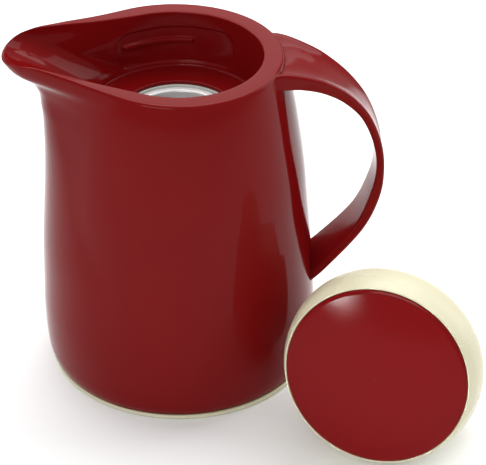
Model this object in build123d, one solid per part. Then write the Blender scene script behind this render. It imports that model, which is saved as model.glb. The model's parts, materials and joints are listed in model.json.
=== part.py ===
"""Insulated serving jug with a glass liner, a loop handle, a screw base and a separate lid.

Frame: millimetres, +Z up, origin on the table at the axis of the jug.
The spout points along -X and the handle along +X. The lid is off, leaning on the
table beside the jug, as it lies after the jug has been opened.
"""
from build123d import *
from math import acos, asin, atan, atan2, cos, degrees, hypot, pi, radians, sin, sqrt
import os

# ---------------------------------------------------------------- jug sizes
base_radius = 76.3            # cream rim that stands out below the housing
housing_bottom = 3.1          # height of the lower edge of the housing
wall = 2.6                    # moulded wall of the housing
rim_height = 194.8            # rim beside the axis
rim_radius = 58.4             # outer edge of the rim
mouth_radius = 47.7           # inner edge of the rim
well_floor_radius = 46.7      # foot of the well wall
well_floor = 160.7            # height of the well floor at its wall
bore_edge = 159.5             # height of the well floor at the bore
bore_radius = 31.0            # neck opening in the well floor
floor_underside = 157.4       # below the well floor, where the neck gasket seats
spout_hollow = 72.5           # furthest that the hollow behind the wall runs into the spout
outline_points = 72           # points round one horizontal outline
level_steps = 2               # loft sections between two stated levels
cut_size = 260.0              # side of the blocks that trim other solids

# Horizontal outlines of the housing, from the base up. Each is the hull of the body
# circle and of a nose circle nearer the spout:
# (height, body radius, distance of the nose circle, furthest reach of the spout)
housing_levels = [
    (2.0, 75.0, 1.0, 76.0),
    (8.0, 76.4, 2.0, 78.0),
    (18.0, 77.2, 3.0, 79.2),
    (35.0, 77.5, 4.0, 79.8),
    (57.0, 76.4, 6.0, 79.3),
    (80.0, 74.8, 8.0, 78.5),
    (102.0, 73.0, 12.0, 77.0),
    (123.0, 71.3, 16.0, 75.6),
    (147.0, 68.2, 26.0, 74.8),
    (165.0, 65.4, 40.0, 75.4),
    (179.0, 62.6, 53.4, 78.2),
    (186.0, 60.9, 61.5, 84.0),
    (190.0, 59.8, 68.6, 91.2),
    (195.0, rim_radius, 73.0, 95.4),
    (203.0, 57.2, 74.0, 96.8),
]

# Rim seen from the side: it rises over the flanks of the spout and dips at the tip.
rim_line = [
    (-110.0, 192.0), (-96.0, 195.8), (-88.0, 198.3), (-78.0, 199.8), (-66.0, 199.2),
    (-45.0, 197.0), (-20.0, 195.5), (0.0, rim_height), (75.0, 194.2),
]

# Horizontal outlines of the well and its pouring channel, in the same form.
channel_levels = [
    (floor_underside, well_floor_radius, 0.5, 46.9),
    (well_floor, well_floor_radius, 1.0, 47.4),
    (166.0, 46.9, 8.0, 52.3),
    (174.0, 47.1, 26.0, 62.0),
    (182.0, 47.3, 44.5, 73.0),
    (189.0, 47.5, 60.0, 84.0),
    (195.0, mouth_radius, 70.6, 92.8),
    (206.0, 48.2, 74.0, 97.0),
]

# Bayonet pockets in the well wall, one on each side, and the ramp inside each.
pocket_centre_height = 174.3
pocket_height = 22.0
pocket_half_angle = 43.0
pocket_depth = 1.0
ramp_height = 177.2
ramp_thickness = 2.0
ramp_inner_radius = 45.9
ramp_start_angle = -10.0
ramp_end_angle = 36.0

# ---------------------------------------------------------------- handle sizes
# Stations along the ribbon, from its root under the rim to its root low on the body:
# (station, outer x, outer z, inner x, inner z, half of the width)
handle_stations = [
    (0, 50.5, 193.2, 50.5, 183.8, 26.5),
    (1, 60.0, 192.7, 61.0, 183.2, 24.0),
    (2, 71.5, 188.9, 69.5, 181.3, 21.3),
    (3, 82.7, 183.5, 80.4, 177.0, 18.3),
    (4, 96.0, 173.0, 91.8, 168.9, 14.8),
    (5, 106.5, 159.0, 102.0, 157.0, 12.6),
    (6, 113.3, 141.0, 108.8, 140.0, 11.6),
    (7, 115.4, 123.0, 110.7, 123.5, 11.2),
    (8, 113.2, 105.0, 107.6, 107.2, 11.8),
    (9, 104.1, 84.8, 99.0, 87.0, 13.5),
    (10, 84.5, 61.7, 80.0, 64.4, 16.0),
    (11, 73.2, 51.1, 70.0, 55.0, 17.5),
]

# ---------------------------------------------------------------- liner sizes
glass = 1.5                   # wall of each glass flask
liner_radius = 63.0           # outer flask
liner_gap = 4.5               # vacuum between the two flasks
liner_neck_radius = 29.8      # outside of the liner's neck
liner_mouth_height = 156.6
neck_joint_height = 151.5     # the two flasks are fused here
liner_bottom = 15.0           # underside of the outer flask on the axis
neck_foot_height = 147.0     # foot of the straight neck of the outer flask
shoulder_height = 104.0       # top of the straight side of the outer flask
belly_height = 50.0           # foot of the straight side of the outer flask
nib_radius = 3.0              # sealed evacuation nib under the outer flask
nib_length = 5.0
spacer_count = 3

# ---------------------------------------------------------------- base sizes
pad_proud = 0.4               # the soft pads stand out below the base
base_top = 2.8                # visible rim of the base
base_plate_top = 3.8
base_wall_outer = 65.6
base_wall_inner = 63.4
base_wall_top = 13.0
lug_count = 3
lug_angle = 30.0
base_lug_outer = 69.6
base_lug_bottom = 9.8
housing_lug_inner = 66.0
housing_lug_outer = 75.0      # buried in the wall of the housing
housing_lug_bottom = 6.4
housing_lug_top = 9.3
pad_count = 4
pad_radius = 5.0
pad_circle = 64.5
cushion_gap = 0.4             # the base and its cushion turn under the liner

# ---------------------------------------------------------------- lid sizes
# Lid heights run along its own axis from the plane of its widest circle.
lid_radius = 55.0
lid_lip_radius = 51.6
lid_lip_height = 18.0
lid_under_radius = 49.6
lid_underside = -9.0
lid_wall = 2.4
disc_radius = 50.3
disc_edge_height = 18.5
disc_crown_height = 23.0
disc_edge_thickness = 1.8
skirt_radius = 45.2
skirt_bottom = -46.0
skirt_wall = 2.2
skirt_edge_radius = 2.0
boss_radius = 23.7
boss_bottom = -50.4
lid_lug_radius = 46.5
lid_lug_height = -31.0
lid_lug_thickness = 3.0
lid_lug_angle = 26.0
lid_lug_places = (156.0, -24.0)
skirt_middle = 247.0          # middle of the skirt, away from the pouring gap
skirt_spread = 210.0
stopper_radius = 30.2
stopper_bottom = -43.6
rib_angles = (187.0, 247.0, 307.0)
lid_gap = 0.3                 # round the ring gasket, on which the lid turns
ring_inner = 24.0
ring_outer = 30.6
ring_bottom = -46.6
screw_circle = 36.0
screw_head_radius = 3.2
screw_radius = 1.5
screw_length = 11.0

# Where the lid lies.
lid_x = 110.0
lid_y = -98.4
lid_heading = 20.2            # degrees from -Y toward -X, the way its disc faces


def outline_radius(angle, body, nose_at, reach):
    """Distance from the axis to the hull of the body circle and the nose circle.

    The angle is measured from the spout direction.
    """
    nose = reach - nose_at
    if nose_at <= body - nose:
        return body
    normal = acos((body - nose) / nose_at)
    if angle >= normal:
        return body
    knee = atan2(nose * sin(normal), nose_at + nose * cos(normal))
    if angle >= knee:
        return body / cos(normal - angle)
    return nose_at * cos(angle) + sqrt(nose ** 2 - (nose_at * sin(angle)) ** 2)


def outline_face(height, body, nose_at, reach):
    """One closed horizontal outline, starting at the handle side."""
    points = []
    for step in range(outline_points):
        turn = 2 * pi * step / outline_points
        angle = abs(pi - turn)
        radius = outline_radius(angle, body, nose_at, reach)
        points.append((radius * cos(turn), radius * sin(turn), height))
    return make_face(Spline(*points, periodic=True))


def slope_at(levels, index, column):
    """Slope of one column of the levels against height, at one level."""
    below = levels[max(index - 1, 0)]
    above = levels[min(index + 1, len(levels) - 1)]
    return (above[column] - below[column]) / (above[0] - below[0])


def level_between(levels, index, part_way):
    """Level part of the way from one stated level to the next, on a smooth curve."""
    low, high = levels[index], levels[index + 1]
    gap = high[0] - low[0]
    t = part_way
    values = [low[0] + t * gap]
    for column in range(1, len(low)):
        start_pull = slope_at(levels, index, column) * gap * t * (1 - t) ** 2
        end_pull = slope_at(levels, index + 1, column) * gap * t ** 2 * (t - 1)
        start = low[column] * (1 + 2 * t) * (1 - t) ** 2
        end = high[column] * t ** 2 * (3 - 2 * t)
        values.append(start + start_pull + end + end_pull)
    return values


def filled_in(levels, steps):
    """The stated levels with more between them, so many steps to each gap."""
    filled = []
    for index in range(len(levels) - 1):
        for step in range(steps):
            filled.append(level_between(levels, index, step / steps))
    filled.append(levels[-1])
    return filled


def lofted(levels, grow=0.0, reach_limit=200.0):
    """Solid through a list of outlines, grown or shrunk all round."""
    sections = []
    for height, body, nose_at, reach in filled_in(levels, level_steps):
        sections.append(outline_face(height, body + grow, nose_at, min(reach + grow, reach_limit)))
    return loft(sections, ruled=True)


def turned(points):
    """Solid of revolution about Z from a closed (radius, height) outline."""
    outline = Polyline(*points, close=True)
    return revolve(Plane.XZ * make_face(outline), Axis.Z)


def tube(outer, inner, bottom, top):
    """Plain ring about Z."""
    align = (Align.CENTER, Align.CENTER, Align.MIN)
    ring = Cylinder(outer, top - bottom, align=align)
    if inner > 0:
        ring -= Cylinder(inner, top - bottom, align=align)
    return Pos(0, 0, bottom) * ring


def ring_sector(outer, inner, bottom, top, middle_angle, spread):
    """Part of a ring, spread degrees wide about the middle angle."""
    profile = Plane.XZ * Pos((outer + inner) / 2, (bottom + top) / 2) * Rectangle(outer - inner, top - bottom)
    return Rot(0, 0, middle_angle - spread / 2) * revolve(profile, Axis.Z, revolution_arc=spread)


def as_solids(shape):
    """The separate solids of a shape, joined in one compound when there are several."""
    solids = shape.solids()
    if len(solids) == 1:
        return solids[0]
    return Compound(children=solids)


# ---------------------------------------------------------------- jug pieces
def make_outer_form():
    """Housing as a solid block: the lofted body trimmed along its rim line."""
    block = lofted(housing_levels)
    above = Spline(*rim_line)
    far_left = (rim_line[0][0], 230.0)
    far_right = (rim_line[-1][0], 230.0)
    edges = [
        above,
        Line(rim_line[-1], far_right),
        Line(far_right, far_left),
        Line(far_left, rim_line[0]),
    ]
    trim = extrude(Plane.XZ * make_face(edges), cut_size / 2, both=True)
    foot = Pos(0, 0, housing_bottom - cut_size / 2) * Box(cut_size, cut_size, cut_size)
    return block - trim - foot


def make_pocket_cutter(middle_angle):
    """Shallow pocket in the well wall for the lugs of the lid."""
    outer = well_floor_radius + 0.6 + pocket_depth
    bottom = pocket_centre_height - pocket_height / 2
    top = pocket_centre_height + pocket_height / 2
    return ring_sector(outer, 30.0, bottom, top, middle_angle, 2 * pocket_half_angle)


def make_ramp(middle_angle):
    """Bayonet ramp inside a pocket."""
    spread = ramp_end_angle - ramp_start_angle
    middle = middle_angle + (ramp_start_angle + ramp_end_angle) / 2
    bottom = ramp_height - ramp_thickness / 2
    top = ramp_height + ramp_thickness / 2
    outer = well_floor_radius + 1.0 + pocket_depth
    return ring_sector(outer, ramp_inner_radius, bottom, top, middle, spread)


def make_housing(outer_form):
    """Red shell with the spout, the rim, the well and the neck opening in one moulding."""
    hollow_levels = [level for level in housing_levels if level[0] < 190.0]
    hollow = lofted(hollow_levels, -wall, spout_hollow)
    hollow -= lofted(channel_levels, wall)
    channel = lofted(channel_levels)
    channel -= Pos(0, 0, well_floor - cut_size / 2) * Box(cut_size, cut_size, cut_size)
    dish_radius = well_floor_radius - 1.2
    floor_dish = turned([
        (0, floor_underside - 2),
        (bore_radius, floor_underside - 2),
        (bore_radius, bore_edge),
        (dish_radius, well_floor),
        (dish_radius, well_floor + 1),
        (0, well_floor + 1),
    ])
    shell = outer_form - hollow - channel - floor_dish
    for side in (90.0, -90.0):
        shell -= make_pocket_cutter(side)
        shell += make_ramp(side)
    for index in range(lug_count):
        middle = 360.0 * index / lug_count
        shell += ring_sector(
            housing_lug_outer, housing_lug_inner, housing_lug_bottom, housing_lug_top, middle, lug_angle
        )
    return shell


def make_handle(outer_form):
    """Ribbon handle, its section a rectangle at every station."""
    sections = []
    for station in filled_in(handle_stations, 2):
        outer_x, outer_z, inner_x, inner_z, half_width = station[1:]
        corners = [
            (outer_x, -half_width, outer_z),
            (outer_x, half_width, outer_z),
            (inner_x, half_width, inner_z),
            (inner_x, -half_width, inner_z),
        ]
        sections.append(make_face(Polyline(*corners, close=True)))
    return loft(sections, ruled=True) - outer_form


def flask_profile(radius, neck_radius, bottom, neck_foot_height, top):
    """Outer line of a flask as edges from the top of its neck to the axis below."""
    neck_foot = (neck_radius, neck_foot_height)
    shoulder = (radius, shoulder_height)
    belly = (radius, belly_height)
    pole = (0.0, bottom)
    neck_line = Line((neck_radius, top), neck_foot)
    shoulder_curve = Spline(neck_foot, shoulder, tangents=[(0.35, -1), (0, -1)])
    side = Line(shoulder, belly)
    bottom_curve = Spline(belly, pole, tangents=[(0, -1), (-1, 0)])
    return [neck_line, shoulder_curve, side, bottom_curve]


def make_flask(radius, neck_radius, bottom, neck_foot, top):
    """Hollow glass flask open at the top."""
    outer = flask_profile(radius, neck_radius, bottom, neck_foot, top)
    inner = flask_profile(radius - glass, neck_radius - glass, bottom + glass, neck_foot - glass, top)
    edges = outer + inner
    edges.append(Line((neck_radius, top), (neck_radius - glass, top)))
    edges.append(Line((0, bottom), (0, bottom + glass)))
    return revolve(Plane.XZ * make_face(edges), Axis.Z)


def make_liner_outer():
    """Outer flask with the sealed nib at its lowest point."""
    flask = make_flask(liner_radius, liner_neck_radius, liner_bottom, neck_foot_height, neck_joint_height)
    nib_top = liner_bottom + glass / 2
    nib = tube(nib_radius, 0, liner_bottom - nib_length, nib_top)
    return flask + fillet(nib.edges().group_by(Axis.Z)[0], nib_radius - 0.4)


def make_liner_inner():
    """Inner flask with the lip that closes the space between the two flasks."""
    inner_neck = liner_neck_radius - glass - 1.4
    flask = make_flask(
        liner_radius - glass - liner_gap,
        inner_neck,
        liner_bottom + glass + liner_gap,
        neck_foot_height - glass - liner_gap,
        liner_mouth_height - 1.0,
    )
    lip = tube(liner_neck_radius, inner_neck - glass, neck_joint_height, liner_mouth_height)
    lip -= tube(liner_neck_radius - glass, inner_neck, neck_joint_height - 1, liner_mouth_height - 2.2)
    lip = fillet(lip.edges().group_by(Axis.Z)[-1], 1.3)
    return flask + lip


def make_liner_spacers():
    """Small pads that keep the two flasks apart at the belly."""
    outer = liner_radius - glass
    inner = outer - liner_gap
    pads = []
    for index in range(spacer_count):
        pads.append(ring_sector(outer, inner, 56.0, 66.0, 60.0 + 360.0 * index / spacer_count, 9.0))
    return Compound(children=[pad.solid() for pad in pads])


def make_neck_gasket():
    """Soft ring round the liner's neck, clamped under the well floor."""
    return turned([
        (liner_neck_radius, 149.0),
        (liner_neck_radius + 4.6, 151.0),
        (liner_neck_radius + 6.4, 154.0),
        (liner_neck_radius + 6.4, floor_underside),
        (liner_neck_radius, floor_underside),
    ])


def make_shoulder_ring():
    """Soft ring that centres the shoulder of the liner under the well."""
    flask_edge = 55.6
    return turned([
        (flask_edge + 3.5, 129.0),
        (flask_edge + 8.6, 129.0),
        (flask_edge + 8.6, 137.0),
        (flask_edge + 3.5, 137.0),
    ])


def make_centring_ring():
    """Soft ring that centres the belly of the liner in the housing."""
    return tube(72.8, liner_radius, 58.0, 68.0)


def make_tip_protector():
    """Rubber cup over the evacuation nib."""
    cup = tube(nib_radius + 2.2, 0, liner_bottom - nib_length - 1.6, liner_bottom - 0.3)
    return cup - tube(nib_radius, 0, liner_bottom - nib_length, liner_bottom)


def make_liner_cushion():
    """Rubber cup on the base that carries the round bottom of the liner."""
    ring = tube(34.0, 22.0, base_plate_top, 26.0)
    bottom_form = make_cushion_clearance()
    return ring - bottom_form


def make_cushion_clearance():
    """The round bottom of the liner, grown by the cushion's clearance."""
    edges = flask_profile(
        liner_radius + cushion_gap, liner_neck_radius, liner_bottom - cushion_gap, neck_foot_height,
        neck_joint_height,
    )
    edges.append(Line((liner_neck_radius, neck_joint_height), (0, neck_joint_height)))
    edges.append(Line((0, neck_joint_height), (0, liner_bottom - cushion_gap)))
    return revolve(Plane.XZ * make_face(edges), Axis.Z)


def make_base_cover():
    """Cream base with its visible rim, inner wall and bayonet lugs."""
    rim = turned([
        (0, pad_proud),
        (base_radius - 0.8, pad_proud),
        (base_radius, pad_proud + 0.8),
        (base_radius, base_top - 0.6),
        (base_radius - 0.6, base_top),
        (base_wall_outer, base_top),
        (base_wall_outer, base_wall_top),
        (base_wall_inner, base_wall_top),
        (base_wall_inner, base_plate_top),
        (0, base_plate_top),
    ])
    for index in range(lug_count):
        middle = 360.0 * index / lug_count
        rim += ring_sector(
            base_lug_outer, base_wall_outer - 0.5, base_lug_bottom, base_wall_top, middle, lug_angle
        )
    for x, y in pad_places():
        rim -= Pos(x, y, 0) * tube(pad_radius, 0, 0, 1.6)
    return rim


def pad_places():
    """Centres of the foot pads."""
    places = []
    for index in range(pad_count):
        angle = radians(45.0 + 360.0 * index / pad_count)
        places.append((pad_circle * cos(angle), pad_circle * sin(angle)))
    return places


def make_foot_pads():
    """Soft non-slip pads set into the base."""
    pads = []
    for x, y in pad_places():
        pads.append((Pos(x, y, 0) * tube(pad_radius, 0, 0, 1.6)).solid())
    return Compound(children=pads)


# ---------------------------------------------------------------- lid pieces
def make_lid_shell():
    """Cream bowl with the bulging side and the lip that holds the disc."""
    side = Spline(
        (lid_under_radius, lid_underside),
        (lid_radius, 0.0),
        (lid_lip_radius, lid_lip_height - 1.0),
        tangents=[(1.0, 0.35), (-0.6, 1.0)],
    )
    bulge_inner = lid_radius - lid_wall
    inner_side = Spline(
        (lid_lip_radius - lid_wall, lid_lip_height - 2.0),
        (bulge_inner, 0.0),
        (lid_under_radius - lid_wall, lid_underside + lid_wall),
        tangents=[(0.6, -1.0), (-1.0, -0.35)],
    )
    edges = [
        side,
        Line(side @ 1, (lid_lip_radius - 0.4, lid_lip_height)),
        Line((lid_lip_radius - 0.4, lid_lip_height), (disc_radius + 0.2, lid_lip_height)),
        Line((disc_radius + 0.2, lid_lip_height), (disc_radius + 0.2, lid_lip_height - 2.0)),
        Line((disc_radius + 0.2, lid_lip_height - 2.0), inner_side @ 0),
        inner_side,
        Line(inner_side @ 1, (0, lid_underside + lid_wall)),
        Line((0, lid_underside + lid_wall), (0, lid_underside)),
        Line((0, lid_underside), side @ 0),
    ]
    shell = revolve(Plane.XZ * make_face(edges), Axis.Z)
    for x, y in screw_places():
        shell -= Pos(x, y, 0) * tube(screw_radius, 0, lid_underside - 1, lid_underside + lid_wall + 1)
    return shell


def make_lid_disc():
    """Red disc with a low crown that closes the bowl, with a snap ring beneath."""
    crown = Spline((disc_radius, disc_edge_height), (0, disc_crown_height), tangents=[(-1, 0.18), (-1, 0)])
    edges = [
        crown,
        Line((0, disc_crown_height), (0, disc_crown_height - 2.0)),
        Line((0, disc_crown_height - 2.0), (45.0, disc_edge_height - disc_edge_thickness)),
        Line((45.0, disc_edge_height - disc_edge_thickness), (46.0, 10.0)),
        Line((46.0, 10.0), (47.8, 10.0)),
        Line((47.8, 10.0), (48.6, disc_edge_height - disc_edge_thickness)),
        Line((48.6, disc_edge_height - disc_edge_thickness), (disc_radius, disc_edge_height - disc_edge_thickness)),
        Line((disc_radius, disc_edge_height - disc_edge_thickness), (disc_radius, disc_edge_height)),
    ]
    return revolve(Plane.XZ * make_face(edges), Axis.Z)


def make_lid_plug():
    """Lower body of the lid: round stopper, skirt open at its pouring gap, and bayonet lugs."""
    skirt = ring_sector(
        skirt_radius, skirt_radius - skirt_wall, skirt_bottom, lid_underside - 1.0, skirt_middle, skirt_spread
    )
    skirt = fillet(skirt.edges().group_by(Axis.Z)[0].sort_by(SortBy.LENGTH)[-1], skirt_edge_radius)
    plate_top = stopper_bottom + skirt_wall
    plug = tube(stopper_radius, stopper_radius - skirt_wall, stopper_bottom, lid_underside)
    plug += tube(stopper_radius, ring_inner - 4.0, stopper_bottom, plate_top)
    plug += tube(skirt_radius, 24.0, lid_underside - skirt_wall, lid_underside)
    plug += skirt
    for angle in rib_angles:
        plug += Rot(0, 0, angle) * Pos(37.0, 0, -25.0) * Box(14.6, 1.8, 31.0)
    for x, y in screw_places():
        plug += Pos(x, y, 0) * tube(4.2, 0, lid_underside - 8.0, lid_underside)
    for x, y in screw_places():
        plug -= Pos(x, y, 0) * tube(screw_radius, 0, lid_underside - 9.0, lid_underside + 1)
    for side in lid_lug_places:
        bottom = lid_lug_height - lid_lug_thickness / 2
        top = lid_lug_height + lid_lug_thickness / 2
        plug += ring_sector(lid_lug_radius, skirt_radius - 0.8, bottom, top, side, lid_lug_angle)
    return plug


def make_lid_plug_cap():
    """Cap that closes the stopper from below and reaches into the mouth of the liner."""
    plate_top = stopper_bottom + skirt_wall
    return turned([
        (0, boss_bottom),
        (boss_radius - 1.5, boss_bottom),
        (boss_radius, boss_bottom + 1.5),
        (boss_radius, stopper_bottom),
        (ring_inner - 4.0, stopper_bottom),
        (ring_inner - 4.0, plate_top),
        (ring_inner - 6.2, plate_top),
        (ring_inner - 6.2, boss_bottom + 2.2),
        (0, boss_bottom + 2.2),
    ])


def make_lid_foam():
    """Insulating foam block inside the stopper."""
    return turned([
        (0, boss_bottom + 2.2),
        (ring_inner - 6.4, boss_bottom + 2.2),
        (ring_inner - 6.4, stopper_bottom + skirt_wall + 0.1),
        (stopper_radius - skirt_wall - 0.2, stopper_bottom + skirt_wall + 0.1),
        (stopper_radius - skirt_wall - 0.2, -20.0),
        (0, -20.0),
    ])


def make_lid_ring_gasket():
    """Soft ring under the stopper that seals in the neck opening."""
    return tube(ring_outer, ring_inner, ring_bottom, stopper_bottom - lid_gap)


def make_lid_mouth_seal():
    """Soft ring under the cap that closes the mouth of the liner."""
    return tube(boss_radius - 1.8, 16.0, boss_bottom - 1.4, boss_bottom)


def screw_places():
    """Centres of the three lid screws."""
    places = []
    for index in range(3):
        angle = radians(30.0 + 120.0 * index)
        places.append((screw_circle * cos(angle), screw_circle * sin(angle)))
    return places


def make_lid_screws():
    """Pan-head screws that hold the bowl to the plug."""
    screws = []
    seat = lid_underside + lid_wall
    for x, y in screw_places():
        screw = tube(screw_radius, 0, seat - screw_length + 2.0, seat)
        screw += tube(screw_head_radius, 0, seat, seat + 2.0)
        screw -= Pos(0, 0, seat + 1.6) * Box(4.4, 0.8, 1.2)
        screw -= Pos(0, 0, seat + 1.6) * Box(0.8, 4.4, 1.2)
        screws.append((Pos(x, y, 0) * screw).solid())
    return Compound(children=screws)


def lid_place():
    """Where the lid lies: on its widest circle and on the edge of its skirt."""
    drop = hypot(skirt_bottom, lid_radius - skirt_radius)
    lean = atan((lid_radius - skirt_radius + skirt_edge_radius) / -skirt_bottom)
    lean -= asin(skirt_edge_radius / drop)
    height = lid_radius * cos(lean) + 0.35
    tip_forward = Rot(90 - degrees(lean), 0, 0)
    return Pos(lid_x, lid_y, height) * Rot(0, 0, -lid_heading) * tip_forward


def build_parts():
    """Every node of the row, by name."""
    outer_form = make_outer_form()
    parts = {
        "housing": make_housing(outer_form),
        "handle": make_handle(outer_form),
        "neck_gasket": make_neck_gasket(),
        "liner_inner_flask": make_liner_inner(),
        "liner_outer_flask": make_liner_outer(),
        "liner_spacers": make_liner_spacers(),
        "liner_tip_protector": make_tip_protector(),
        "liner_cushion": make_liner_cushion(),
        "shoulder_ring": make_shoulder_ring(),
        "centring_ring": make_centring_ring(),
        "base_cover": make_base_cover(),
        "foot_pads": make_foot_pads(),
    }
    lid_parts = {
        "lid_disc": make_lid_disc(),
        "lid_shell": make_lid_shell(),
        "lid_plug": make_lid_plug(),
        "lid_plug_cap": make_lid_plug_cap(),
        "lid_foam": make_lid_foam(),
        "lid_ring_gasket": make_lid_ring_gasket(),
        "lid_mouth_seal": make_lid_mouth_seal(),
        "lid_screws": make_lid_screws(),
    }
    for name, shape in lid_parts.items():
        parts[name] = lid_place() * shape
    return parts


os.makedirs("parts", exist_ok=True)
for name, shape in build_parts().items():
    export_step(as_solids(shape), f"parts/{name}.step")
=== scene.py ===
"""Looks for the insulated serving jug and its lid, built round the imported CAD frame."""
import bpy
import json
import math
import numpy as np
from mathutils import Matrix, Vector


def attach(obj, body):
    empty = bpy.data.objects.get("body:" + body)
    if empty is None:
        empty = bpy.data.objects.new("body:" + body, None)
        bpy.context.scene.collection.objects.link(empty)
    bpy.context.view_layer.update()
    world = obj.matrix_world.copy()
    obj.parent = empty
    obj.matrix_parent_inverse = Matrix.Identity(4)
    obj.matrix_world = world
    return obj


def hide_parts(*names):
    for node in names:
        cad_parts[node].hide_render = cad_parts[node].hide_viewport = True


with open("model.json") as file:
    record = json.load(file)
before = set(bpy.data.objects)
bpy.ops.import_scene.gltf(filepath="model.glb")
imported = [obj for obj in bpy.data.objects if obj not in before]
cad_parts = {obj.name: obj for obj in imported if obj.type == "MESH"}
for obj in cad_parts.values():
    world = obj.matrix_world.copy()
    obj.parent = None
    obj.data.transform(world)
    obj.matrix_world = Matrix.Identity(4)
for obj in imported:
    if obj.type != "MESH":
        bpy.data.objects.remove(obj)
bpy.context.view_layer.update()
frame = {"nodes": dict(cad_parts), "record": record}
MM = 0.001

# ---------------------------------------------------------------- sizes, in millimetres
# Outlines of the housing: height, body radius, nose circle distance, spout reach.
HOUSING_LEVELS = [
    (2.0, 75.0, 1.0, 76.0),
    (8.0, 76.4, 2.0, 78.0),
    (18.0, 77.2, 3.0, 79.2),
    (35.0, 77.5, 4.0, 79.8),
    (57.0, 76.4, 6.0, 79.3),
    (80.0, 74.8, 8.0, 78.5),
    (102.0, 73.0, 12.0, 77.0),
    (123.0, 71.3, 16.0, 75.6),
    (147.0, 68.2, 26.0, 74.8),
    (165.0, 65.4, 40.0, 75.4),
    (179.0, 62.6, 53.4, 78.2),
    (186.0, 60.9, 61.5, 84.0),
    (190.0, 59.8, 68.6, 91.2),
    (195.0, 58.4, 73.0, 95.4),
    (203.0, 57.2, 74.0, 96.8),
]
# Outlines of the well and its pouring channel, in the same form.
CHANNEL_LEVELS = [
    (157.4, 46.7, 0.5, 46.9),
    (160.7, 46.7, 1.0, 47.4),
    (166.0, 46.9, 8.0, 52.3),
    (174.0, 47.1, 26.0, 62.0),
    (182.0, 47.3, 44.5, 73.0),
    (189.0, 47.5, 60.0, 84.0),
    (195.0, 47.7, 70.6, 92.8),
    (206.0, 48.2, 74.0, 97.0),
]
# Height of the rim along the jug, from the spout to the handle.
RIM_LINE = [
    (-110.0, 192.0), (-96.0, 195.8), (-88.0, 198.3), (-78.0, 199.8), (-66.0, 199.2),
    (-45.0, 197.0), (-20.0, 195.5), (0.0, 194.8), (75.0, 194.2),
]
HOUSING_BOTTOM = 3.1
SKIN = 0.1                    # kept inside the faceted outline of the CAD housing
WALL = 2.6
WELL_FLOOR = 160.7
BORE_RADIUS = 31.0
BORE_EDGE = 159.5
FLOOR_UNDERSIDE = 157.4
WELL_FLOOR_RADIUS = 46.7
RIM_FILLET = 1.5
INNER_FILLET = 0.8
FLOOR_FILLET = 1.6
BORE_FILLET = 0.8
HOLLOW_TOP = 152.0            # top of the hollow behind the housing wall
ROUND_STEPS = 360             # points round the housing
OUTSIDE_RINGS = 110
WELL_RINGS = 84
HOLLOW_RINGS = 24
RIM_START = 195.0             # first guess of the rim height, bettered in a few rounds
RIM_ROUNDS = 12
NECK_SILVER_TOP = 146.0       # the liner's silvering ends below its pale fused lip

# Bayonet pockets and ramps in the well wall.
POCKET_MIDDLE = 174.3
POCKET_HALF_HEIGHT = 11.0
POCKET_HALF_ANGLE = math.radians(43.0)
POCKET_CORNER = 8.0
POCKET_DEPTH = 0.9
POCKET_EDGE = 1.4             # width over which the edge of a pocket fades
RAMP_HEIGHT = 177.2
RAMP_HALF_THICKNESS = 1.0
RAMP_MIDDLE = math.radians(13.0)
RAMP_HALF_ANGLE = math.radians(23.0)
RAMP_STAND = 2.0
RAMP_EDGE = 1.0
WELL_RADIUS = 47.0

# Stations along the handle: station, outer x and z, inner x and z, half of the width.
HANDLE_STATIONS = [
    (0, 50.5, 193.2, 50.5, 183.8, 26.5),
    (1, 60.0, 192.7, 61.0, 183.2, 24.0),
    (2, 71.5, 188.9, 69.5, 181.3, 21.3),
    (3, 82.7, 183.5, 80.4, 177.0, 18.3),
    (4, 96.0, 173.0, 91.8, 168.9, 14.8),
    (5, 106.5, 159.0, 102.0, 157.0, 12.6),
    (6, 113.3, 141.0, 108.8, 140.0, 11.6),
    (7, 115.4, 123.0, 110.7, 123.5, 11.2),
    (8, 113.2, 105.0, 107.6, 107.2, 11.8),
    (9, 104.1, 84.8, 99.0, 87.0, 13.5),
    (10, 84.5, 61.7, 80.0, 64.4, 16.0),
    (11, 73.2, 51.1, 70.0, 55.0, 17.5),
]
HANDLE_EDGE = 1.7
# Depth of the dished outer face at its stations, and the places across the half width
# where the dish has points.
HANDLE_DISH = [(0, 2.6), (2, 2.2), (5, 1.0), (11, 0.3)]
HANDLE_DISH_SPOTS = np.linspace(-0.8, 0.8, 17)
HANDLE_STEPS = 160

# Lid sizes along its own axis, from the plane of its widest circle.
LID_RADIUS = 55.0
LID_LIP_RADIUS = 51.6
LID_LIP_HEIGHT = 18.0
LID_UNDER_RADIUS = 49.6
LID_UNDERSIDE = -9.0
LID_WALL = 2.4
DISC_RADIUS = 50.3
DISC_EDGE = 18.5
DISC_CROWN = 22.6


# ---------------------------------------------------------------- curves
def smooth_table(rows, places):
    """Values at the places on a smooth curve through rows of (place, value, ...)."""
    rows = np.array(rows, float)
    known = rows[:, 0]
    places = np.clip(np.asarray(places, float), known[0], known[-1])
    index = np.clip(np.searchsorted(known, places) - 1, 0, len(known) - 2)
    gap = known[index + 1] - known[index]
    t = (places - known[index]) / gap
    results = []
    for column in range(1, rows.shape[1]):
        values = rows[:, column]
        slopes = np.gradient(values, known)
        start = values[index]
        end = values[index + 1]
        first = slopes[index] * gap
        second = slopes[index + 1] * gap
        results.append(
            start * (1 + 2 * t) * (1 - t) ** 2 + first * t * (1 - t) ** 2
            + end * t ** 2 * (3 - 2 * t) + second * t ** 2 * (t - 1)
        )
    return results


def curve_through(points, count):
    """Evenly spaced points on a smooth curve through a list of 2-D points."""
    points = np.array(points, float)
    steps = np.hypot(*np.diff(points, axis=0).T)
    along = np.concatenate([[0.0], np.cumsum(steps)])
    rows = np.column_stack([along, points])
    fine = np.linspace(0.0, along[-1], count)
    return np.column_stack(smooth_table(rows, fine))


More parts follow.
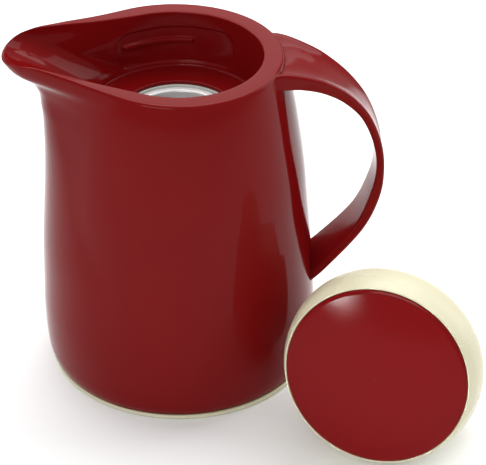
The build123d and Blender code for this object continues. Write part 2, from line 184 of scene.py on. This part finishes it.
def hull_radius(angle, body, nose_at, reach):
    """Distance from the axis to the hull of the body circle and the nose circle."""
    nose = reach - nose_at
    gap = np.maximum(nose_at, 1e-6)
    lean = np.clip((body - nose) / gap, -1.0, 1.0)
    normal = np.arccos(lean)
    knee = np.arctan2(nose * np.sin(normal), nose_at + nose * np.cos(normal))
    flank = body / np.maximum(np.cos(normal - angle), 0.05)
    tip = nose_at * np.cos(angle) + np.sqrt(np.maximum(nose ** 2 - (nose_at * np.sin(angle)) ** 2, 0.0))
    radius = np.where(angle >= normal, body, np.where(angle >= knee, flank, tip))
    return np.where(nose_at <= body - nose, body, radius)


def outline(levels, heights, spout_angle):
    """Radius at each height and angle from the spout."""
    body, nose_at, reach = smooth_table(levels, heights)
    return hull_radius(spout_angle, body, nose_at, reach)


def rim_height(x):
    """Height of the rim at a place along the jug."""
    return smooth_table(RIM_LINE, x)[0]


# ---------------------------------------------------------------- mesh helpers
def new_object(name, verts, faces, body, stands_for=()):
    """Mesh object in metres that rides on a body."""
    mesh = bpy.data.meshes.new(name)
    mesh.from_pydata([tuple(v) for v in np.asarray(verts) * MM], [], faces)
    mesh.validate()
    mesh.update()
    mesh.shade_smooth()
    obj = bpy.data.objects.new(name, mesh)
    bpy.context.scene.collection.objects.link(obj)
    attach(obj, body)
    if stands_for:
        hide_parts(*stands_for)
    return obj


def grid_faces(rows, columns, closed_rows=False):
    """Quads over a grid of rings; each ring closes on itself."""
    faces = []
    last = rows if closed_rows else rows - 1
    for row in range(last):
        following = (row + 1) % rows
        for column in range(columns):
            beside = (column + 1) % columns
            faces.append((
                row * columns + column, row * columns + beside,
                following * columns + beside, following * columns + column,
            ))
    return faces


def rounded(points, radii, steps=5):
    """Closed outline of 2-D points whose corners are rounded with the given radii."""
    result = []
    count = len(points)
    for index in range(count):
        here = np.array(points[index], float)
        before = np.array(points[index - 1], float)
        after = np.array(points[(index + 1) % count], float)
        radius = radii[index] if isinstance(radii, (list, tuple)) else radii
        if radius <= 0:
            result.append(here)
            continue
        towards_before = (before - here) / np.linalg.norm(before - here)
        towards_after = (after - here) / np.linalg.norm(after - here)
        start = here + towards_before * radius
        end = here + towards_after * radius
        for step in range(steps + 1):
            t = step / steps
            result.append(start * (1 - t) ** 2 + here * 2 * t * (1 - t) + end * t ** 2)
    return np.array(result)


def lathe(profile, place=None, segments=192):
    """Vertices and faces of a closed (radius, height) outline turned about an axis."""
    profile = np.asarray(profile, float)
    turn = np.linspace(0, 2 * math.pi, segments, endpoint=False)
    radius = profile[:, 0][:, None]
    verts = np.stack([
        radius * np.cos(turn)[None, :], radius * np.sin(turn)[None, :],
        np.repeat(profile[:, 1][:, None], segments, axis=1),
    ], axis=-1).reshape(-1, 3)
    if place is not None:
        verts = verts @ place[0].T + place[1]
    return verts, grid_faces(len(profile), segments, closed_rows=True)


# ---------------------------------------------------------------- housing
def pocket_mask(side_angle, height):
    """How far inside a bayonet pocket a point of the well wall is, from 0 to 1."""
    across = np.abs(side_angle) * WELL_RADIUS
    up = np.abs(height - POCKET_MIDDLE)
    out_x = np.maximum(across - (POCKET_HALF_ANGLE * WELL_RADIUS - POCKET_CORNER), 0.0)
    out_y = np.maximum(up - (POCKET_HALF_HEIGHT - POCKET_CORNER), 0.0)
    edge = POCKET_CORNER - np.hypot(out_x, out_y)
    return soft_step(edge, POCKET_EDGE)


def ramp_mask(side_angle, height):
    """How much of a bayonet ramp stands at a point of the well wall, from 0 to 1."""
    across = np.maximum(np.abs(side_angle - RAMP_MIDDLE) - RAMP_HALF_ANGLE, 0.0) * WELL_RADIUS
    distance = np.hypot(across, height - RAMP_HEIGHT)
    return soft_step(RAMP_HALF_THICKNESS + 0.4 - distance, RAMP_EDGE)


def soft_step(depth, width):
    """Smooth rise from 0 to 1 over a width centred on zero depth."""
    t = np.clip(depth / width + 0.5, 0.0, 1.0)
    return t * t * (3 - 2 * t)


def housing_mesh():
    """Rings of the housing: up the outside, over the rim, down the well and back inside."""
    turn = np.linspace(0, 2 * math.pi, ROUND_STEPS, endpoint=False)
    spout_angle = np.abs(math.pi - turn)
    cos_turn = np.cos(turn)
    sin_turn = np.sin(turn)
    rings = []

    def add(radius, height):
        rings.append(np.column_stack([radius * cos_turn, radius * sin_turn, height]))

    def outside(height):
        return outline(HOUSING_LEVELS, height, spout_angle) - SKIN

    def inside(height):
        return outline(CHANNEL_LEVELS, height, spout_angle)

    # The rim's height and the wall's place depend on each other.
    top_out = np.full(ROUND_STEPS, RIM_START)
    top_in = np.full(ROUND_STEPS, RIM_START)
    for _ in range(RIM_ROUNDS):
        top_out = rim_height(-outside(top_out) * np.cos(spout_angle)) - SKIN
        top_in = rim_height(-inside(top_in) * np.cos(spout_angle)) - SKIN
    ones = np.ones(ROUND_STEPS)
    lip = outside(top_out)
    well_edge = inside(top_in)
    band = lip - well_edge
    fillet = np.minimum(RIM_FILLET, band * 0.42)
    inner_fillet = np.minimum(INNER_FILLET, band * 0.3)

    # Up the outside.
    for step in np.linspace(0.0, 1.0, OUTSIDE_RINGS) ** 0.9:
        height = HOUSING_BOTTOM + step * (top_out - fillet - HOUSING_BOTTOM)
        add(outside(height), height)
    # Over the rim.
    for step in range(1, 7):
        angle = step / 6 * math.pi / 2
        height = top_out - fillet * (1 - math.sin(angle))
        add(outside(height) - fillet * (1 - math.cos(angle)), height)
    for step in (0.25, 0.5, 0.75):
        radius = (lip - fillet) * (1 - step) + (well_edge + inner_fillet) * step
        add(radius, top_out * (1 - step) + top_in * step)
    for step in range(0, 6):
        angle = step / 5 * math.pi / 2
        height = top_in - inner_fillet * (1 - math.cos(angle))
        add(inside(height) + inner_fillet * (1 - math.sin(angle)), height)
    # Down the well, with a pocket and a ramp on each side.
    side_angle = np.where(turn < math.pi, turn - math.pi / 2, turn - 3 * math.pi / 2)
    for step in np.linspace(0.02, 1.0, WELL_RINGS):
        height = (top_in - inner_fillet) * (1 - step) + (WELL_FLOOR + FLOOR_FILLET) * step
        radius = inside(height)
        near_wall = soft_step(WELL_RADIUS + 2.0 - radius, 1.5)
        radius = radius + POCKET_DEPTH * pocket_mask(side_angle, height) * near_wall
        radius = radius - RAMP_STAND * ramp_mask(side_angle, height) * near_wall
        add(radius, height)
    # Across the well's floor to the neck opening.
    for step in range(1, 7):
        angle = step / 6 * math.pi / 2
        foot = inside(ones * (WELL_FLOOR + FLOOR_FILLET))
        height = WELL_FLOOR + FLOOR_FILLET * (1 - math.sin(angle))
        add(foot - FLOOR_FILLET * (1 - math.cos(angle)), ones * height)
    for step in (0.3, 0.6, 0.9):
        radius = (WELL_FLOOR_RADIUS - 2) * (1 - step) + (BORE_RADIUS + BORE_FILLET) * step
        add(ones * radius, ones * (WELL_FLOOR * (1 - step) + BORE_EDGE * step))
    for step in range(0, 5):
        angle = step / 4 * math.pi / 2
        radius = BORE_RADIUS + BORE_FILLET * (1 - math.sin(angle))
        add(ones * radius, ones * (BORE_EDGE - BORE_FILLET * (1 - math.cos(angle))))
    # Back under the floor and down the hollow.
    add(ones * BORE_RADIUS, ones * FLOOR_UNDERSIDE)
    add(ones * (WELL_FLOOR_RADIUS - 4), ones * FLOOR_UNDERSIDE)
    for height in np.linspace(HOLLOW_TOP, HOUSING_BOTTOM, HOLLOW_RINGS):
        add(outside(ones * height) - WALL, ones * height)
    verts = np.concatenate(rings)
    return verts, grid_faces(len(rings), ROUND_STEPS, closed_rows=True)


# ---------------------------------------------------------------- handle
def handle_mesh():
    """Ribbon swept along the handle: a rounded rectangle, dished on the outer side."""
    places = np.linspace(0.0, HANDLE_STATIONS[-1][0], HANDLE_STEPS)
    rings = []
    dish_stations, dish_depths = zip(*HANDLE_DISH)
    for place, row in zip(places, np.column_stack(smooth_table(HANDLE_STATIONS, places))):
        out_point, in_point, half_width = row[0:2], row[2:4], row[4]
        thickness = np.linalg.norm(out_point - in_point)
        edge = min(HANDLE_EDGE, thickness * 0.42)
        dish = np.interp(place, dish_stations, dish_depths)
        corners = [(0.0, half_width), (0.0, -half_width), (thickness, -half_width)]
        corners += [(thickness, spot * half_width) for spot in HANDLE_DISH_SPOTS]
        corners.append((thickness, half_width))
        radii = [edge] * 3 + [0.0] * len(HANDLE_DISH_SPOTS) + [edge]
        across = (out_point - in_point) / thickness
        ring = []
        for depth, side in rounded(corners, radii, steps=5):
            if depth > thickness * 0.9:
                depth -= dish * (1 - min(abs(side) / (half_width - edge), 1.0) ** 3)
            spot = in_point + across * depth
            ring.append((spot[0], side, spot[1]))
        rings.append(ring)
    columns = len(rings[0])
    verts = np.array(rings).reshape(-1, 3)
    faces = grid_faces(len(rings), columns)
    faces.append(tuple(range(columns)))
    faces.append(tuple(reversed(range((len(rings) - 1) * columns, len(rings) * columns))))
    return verts, faces


# ---------------------------------------------------------------- lid
def lid_frame():
    """Rotation and place of the lid, in millimetres, from the joint it turns on."""
    joint = next(j for j in frame["record"]["behaviour"]["joints"] if j["name"] == "lid_turn")
    axis = Vector(joint["axis"]).normalized()
    level = Vector((0.0, 0.0, 1.0)).cross(axis).normalized()
    third = axis.cross(level)
    rotation = np.column_stack([level, third, axis])
    return rotation, np.array(joint["pos_m"]) / MM


def lid_shell_profile():
    """Cream bowl: bulging side, thin lip, ledge for the disc, hollow inside."""
    side = curve_through([
        (LID_UNDER_RADIUS, LID_UNDERSIDE), (53.2, -6.0), (LID_RADIUS - 0.3, -2.6), (LID_RADIUS, 1.0),
        (LID_RADIUS - 0.3, 6.0), (53.6, 12.0), (LID_LIP_RADIUS, LID_LIP_HEIGHT - 0.8),
    ], 26)
    lip = rounded([
        (LID_LIP_RADIUS + 0.1, LID_LIP_HEIGHT - 1.2), (LID_LIP_RADIUS - 0.15, LID_LIP_HEIGHT),
        (DISC_RADIUS + 0.2, LID_LIP_HEIGHT), (DISC_RADIUS + 0.2, LID_LIP_HEIGHT - 2.0),
    ], [0, 0.5, 0.35, 0], steps=4)
    inner = [
        (LID_LIP_RADIUS - LID_WALL, LID_LIP_HEIGHT - 2.2), (LID_RADIUS - LID_WALL, 1.0),
        (LID_UNDER_RADIUS - LID_WALL, LID_UNDERSIDE + LID_WALL), (0.0, LID_UNDERSIDE + LID_WALL),
    ]
    under = [(0.0, LID_UNDERSIDE), (LID_UNDER_RADIUS - 1.4, LID_UNDERSIDE)]
    return np.concatenate([side[:-1], lip, inner, under])


def lid_disc_profile():
    """Red disc: low crown, soft edge and snap ring."""
    sphere = (DISC_RADIUS ** 2 + (DISC_CROWN - DISC_EDGE) ** 2) / (2 * (DISC_CROWN - DISC_EDGE))
    crown = []
    for radius in np.linspace(0.0, DISC_RADIUS - 0.9, 30):
        crown.append((radius, DISC_CROWN - sphere + math.sqrt(sphere ** 2 - radius ** 2)))
    edge = []
    for step in range(1, 7):
        angle = step / 6 * math.pi / 2
        edge.append((DISC_RADIUS - 0.9 + 0.9 * math.sin(angle), DISC_EDGE - 0.8 * (1 - math.cos(angle))))
    under = [
        (DISC_RADIUS, DISC_EDGE - 1.8), (48.6, DISC_EDGE - 1.8), (47.8, 10.0), (46.0, 10.0),
        (45.0, DISC_EDGE - 1.8), (0.0, DISC_CROWN - 2.0),
    ]
    return np.array(crown + edge + under)


# ---------------------------------------------------------------- materials
def shader(name, color, roughness, **sockets):
    """New material with a Principled shader and object-space coordinates."""
    material = bpy.data.materials.new(name)
    material.use_nodes = True
    nodes = material.node_tree.nodes
    principled = nodes["Principled BSDF"]
    principled.inputs["Base Color"].default_value = (*color, 1.0)
    principled.inputs["Roughness"].default_value = roughness
    for socket, value in sockets.items():
        principled.inputs[socket.replace("_", " ")].default_value = value
    coordinates = nodes.new("ShaderNodeTexCoord")
    return material, principled, coordinates


def noise(material, coordinates, scale, detail=3.0):
    """Noise texture in object space."""
    texture = material.node_tree.nodes.new("ShaderNodeTexNoise")
    texture.inputs["Scale"].default_value = scale
    texture.inputs["Detail"].default_value = detail
    material.node_tree.links.new(coordinates.outputs["Object"], texture.inputs["Vector"])
    return texture


def ramp_between(material, source, low, high, start=0.35, end=0.65):
    """Value that runs from low to high as the source runs from start to end."""
    node = material.node_tree.nodes.new("ShaderNodeMapRange")
    node.inputs["From Min"].default_value = start
    node.inputs["From Max"].default_value = end
    node.inputs["To Min"].default_value = low
    node.inputs["To Max"].default_value = high
    material.node_tree.links.new(source, node.inputs["Value"])
    return node.outputs["Result"]


def color_between(material, factor, first, second):
    """Mix of two colours."""
    node = material.node_tree.nodes.new("ShaderNodeMix")
    node.data_type = "RGBA"
    node.inputs[6].default_value = (*first, 1.0)
    node.inputs[7].default_value = (*second, 1.0)
    material.node_tree.links.new(factor, node.inputs["Factor"])
    return node.outputs[2]


def add_bump(material, principled, source, strength, distance):
    """Bump from a height value."""
    node = material.node_tree.nodes.new("ShaderNodeBump")
    node.inputs["Strength"].default_value = strength
    node.inputs["Distance"].default_value = distance
    material.node_tree.links.new(source, node.inputs["Height"])
    material.node_tree.links.new(node.outputs["Normal"], principled.inputs["Normal"])


def moulded_plastic(name, color, worn, gloss, rough, specular, bump_scale=160.0, bump_strength=0.03):
    """Moulded material: slight colour drift, handling haze and a fine surface ripple."""
    material, principled, coordinates = shader(name, color, gloss, Specular_IOR_Level=specular, IOR=1.5)
    links = material.node_tree.links
    drift = noise(material, coordinates, 9.0, 4.0)
    factor = ramp_between(material, drift.outputs["Fac"], 0.0, 1.0, 0.3, 0.7)
    links.new(color_between(material, factor, color, worn), principled.inputs["Base Color"])
    haze = noise(material, coordinates, 26.0, 6.0)
    roughness = ramp_between(material, haze.outputs["Fac"], gloss, rough, 0.42, 0.72)
    links.new(roughness, principled.inputs["Roughness"])
    ripple = noise(material, coordinates, bump_scale, 2.0)
    add_bump(material, principled, ripple.outputs["Fac"], bump_strength, 0.0004)
    return material


def silvered(name, color, gloss):
    """Silvered glass with faint streaks from the silvering bath, unsilvered at its lip."""
    material, principled, coordinates = shader(name, color, gloss, Metallic=1.0, Coat_Weight=0.6)
    links = material.node_tree.links
    streak = noise(material, coordinates, 34.0, 5.0)
    roughness = ramp_between(material, streak.outputs["Fac"], gloss, gloss + 0.16)
    links.new(roughness, principled.inputs["Roughness"])
    shade = ramp_between(material, streak.outputs["Fac"], 0.0, 1.0)
    darker = tuple(channel * 0.86 for channel in color)
    links.new(color_between(material, shade, color, darker), principled.inputs["Base Color"])
    add_bump(material, principled, streak.outputs["Fac"], 0.05, 0.0006)
    height = material.node_tree.nodes.new("ShaderNodeSeparateXYZ")
    links.new(coordinates.outputs["Object"], height.inputs["Vector"])
    silver_end = NECK_SILVER_TOP * MM
    metal = ramp_between(material, height.outputs["Z"], 1.0, 0.12, silver_end, silver_end + MM)
    links.new(metal, principled.inputs["Metallic"])
    return material


# Plastics, rubbers and foams: colour, worn colour, least and greatest roughness, specular
# level, and where it isn't the usual ripple, the scale and strength of the surface grain.
MOULDED = {
    "red_gloss": ((0.162, 0.0032, 0.0038), (0.146, 0.0028, 0.0034), 0.08, 0.16, 0.09),
    "cream_gloss": ((0.62, 0.59, 0.425), (0.58, 0.55, 0.385), 0.22, 0.34, 0.3),
    "white_plastic": ((0.82, 0.8, 0.74), (0.76, 0.74, 0.67), 0.4, 0.55, 0.4),
    "pale_silicone": ((0.55, 0.57, 0.53), (0.49, 0.51, 0.47), 0.5, 0.68, 0.3),
    "grey_rubber": ((0.06, 0.06, 0.06), (0.09, 0.09, 0.085), 0.66, 0.85, 0.3),
    "white_foam": ((0.84, 0.84, 0.82), (0.76, 0.76, 0.74), 0.85, 0.95, 0.2, 420.0, 0.6),
    "fibre_pad": ((0.6, 0.56, 0.5), (0.5, 0.46, 0.4), 0.9, 0.98, 0.2, 700.0, 0.7),
}


def make_materials():
    """Every material by the record's slot names; the outer flask looks silvered through its glass."""
    materials = {name: moulded_plastic(name, *looks) for name, looks in MOULDED.items()}
    materials["silvered_glass"] = silvered("silvered_glass", (0.8, 0.81, 0.81), 0.06)
    materials["clear_glass"] = silvered("clear_glass", (0.86, 0.87, 0.87), 0.12)
    materials["screw_steel"] = steel()
    return materials


def steel():
    """Zinc-plated steel with fine turning marks."""
    material, principled, coordinates = shader("screw_steel", (0.6, 0.6, 0.6), 0.3, Metallic=1.0)
    marks = noise(material, coordinates, 900.0, 2.0)
    links = material.node_tree.links
    links.new(ramp_between(material, marks.outputs["Fac"], 0.24, 0.42), principled.inputs["Roughness"])
    add_bump(material, principled, marks.outputs["Fac"], 0.1, 0.0002)
    return material


def paint(obj, material):
    """One material on every slot of an object."""
    obj.data.materials.clear()
    obj.data.materials.append(material)


# ---------------------------------------------------------------- build
def build_pieces(materials):
    """Detailed pieces that replace CAD nodes, and materials on the CAD nodes that stay."""
    verts, faces = housing_mesh()
    housing = new_object("housing_skin", verts, faces, "jug", ["housing"])
    paint(housing, materials["red_gloss"])
    verts, faces = handle_mesh()
    handle = new_object("handle_skin", verts, faces, "jug", ["handle"])
    paint(handle, materials["red_gloss"])
    place = lid_frame()
    verts, faces = lathe(lid_shell_profile(), place)
    shell = new_object("lid_shell_skin", verts, faces, "lid", ["lid_shell"])
    paint(shell, materials["cream_gloss"])
    verts, faces = lathe(lid_disc_profile(), place)
    disc = new_object("lid_disc_skin", verts, faces, "lid", ["lid_disc"])
    paint(disc, materials["red_gloss"])
    replaced = {"housing", "handle", "lid_shell", "lid_disc"}
    for part in frame["record"]["subparts"]:
        if part["node"] in replaced:
            continue
        node = frame["nodes"][part["node"]]
        paint(node, materials[part["material_slot"]])


def soft_light(name, place, target, size, power, spread=180.0):
    """Rectangular area light aimed at a point."""
    data = bpy.data.lights.new(name, "AREA")
    data.shape = "RECTANGLE"
    data.size = size[0]
    data.size_y = size[1]
    data.energy = power
    data.spread = math.radians(spread)
    light = bpy.data.objects.new(name, data)
    light.location = place
    light.rotation_euler = (Vector(target) - Vector(place)).to_track_quat("-Z", "Y").to_euler()
    bpy.context.scene.collection.objects.link(light)


MIDDLE = (0.0, 0.0, 0.1)
# Lights: name, place, target, size, power in watts, and spread in degrees when narrow.
LIGHTS = [
    ("light_top", (0.0, 0.8, 1.6), MIDDLE, (2.6, 1.3), 38.0),
    ("light_front", (-0.7, -1.9, 1.5), MIDDLE, (1.2, 0.9), 20.0),
    ("light_low_left", (-0.68, -1.02, 0.17), (0.15, -0.12, 0.07), (0.16, 0.12), 0.035, 11.0),
    ("light_side_left", (-1.4, 0.5, 0.5), MIDDLE, (0.3, 1.0), 1.8),
    ("light_back", (0.0, 1.9, 1.35), MIDDLE, (2.2, 0.7), 6.0),
    ("light_side_right", (1.5, 0.5, 0.7), MIDDLE, (0.9, 1.3), 9.0),
]
FLOOR_HALF = 6.0
SURROUND = 0.55


def build_floor():
    """Pale paper floor."""
    mesh = bpy.data.meshes.new("floor")
    corners = [(x * FLOOR_HALF, y * FLOOR_HALF, 0) for x, y in ((-1, -1), (1, -1), (1, 1), (-1, 1))]
    mesh.from_pydata(corners, [], [(0, 1, 2, 3)])
    floor = bpy.data.objects.new("floor", mesh)
    bpy.context.scene.collection.objects.link(floor)
    material, principled, coordinates = shader("floor_paper", (0.9, 0.9, 0.9), 0.9, Specular_IOR_Level=0.1)
    grain = noise(material, coordinates, 300.0, 3.0)
    add_bump(material, principled, grain.outputs["Fac"], 0.05, 0.0005)
    paint(floor, material)


def build_stage():
    """Floor, soft lights all round and a dim white surround."""
    build_floor()
    for settings in LIGHTS:
        soft_light(*settings)
    world = bpy.data.worlds.new("surround")
    world.use_nodes = True
    background = world.node_tree.nodes["Background"]
    background.inputs["Color"].default_value = (1.0, 1.0, 1.0, 1.0)
    background.inputs["Strength"].default_value = SURROUND
    bpy.context.scene.world = world
    bpy.context.scene.view_settings.view_transform = "Standard"


CAMERA_PLACE = (0.0, -1.054, 0.781)
CAMERA_PITCH = math.radians(33.76)
CAMERA_YAW = math.radians(1.97)
CAMERA_LENS = 163.0


def build_camera():
    """Long lens in front of the jug, looking down at it."""
    level = math.cos(CAMERA_PITCH)
    ahead = Vector((math.sin(CAMERA_YAW) * level, math.cos(CAMERA_YAW) * level, -math.sin(CAMERA_PITCH)))
    data = bpy.data.cameras.new("camera")
    data.sensor_width = 36.0
    data.lens = CAMERA_LENS
    data.clip_start = 0.01
    camera = bpy.data.objects.new("camera", data)
    camera.location = CAMERA_PLACE
    camera.rotation_euler = ahead.to_track_quat("-Z", "Y").to_euler()
    bpy.context.scene.collection.objects.link(camera)
    bpy.context.scene.camera = camera


build_pieces(make_materials())
build_stage()
build_camera()
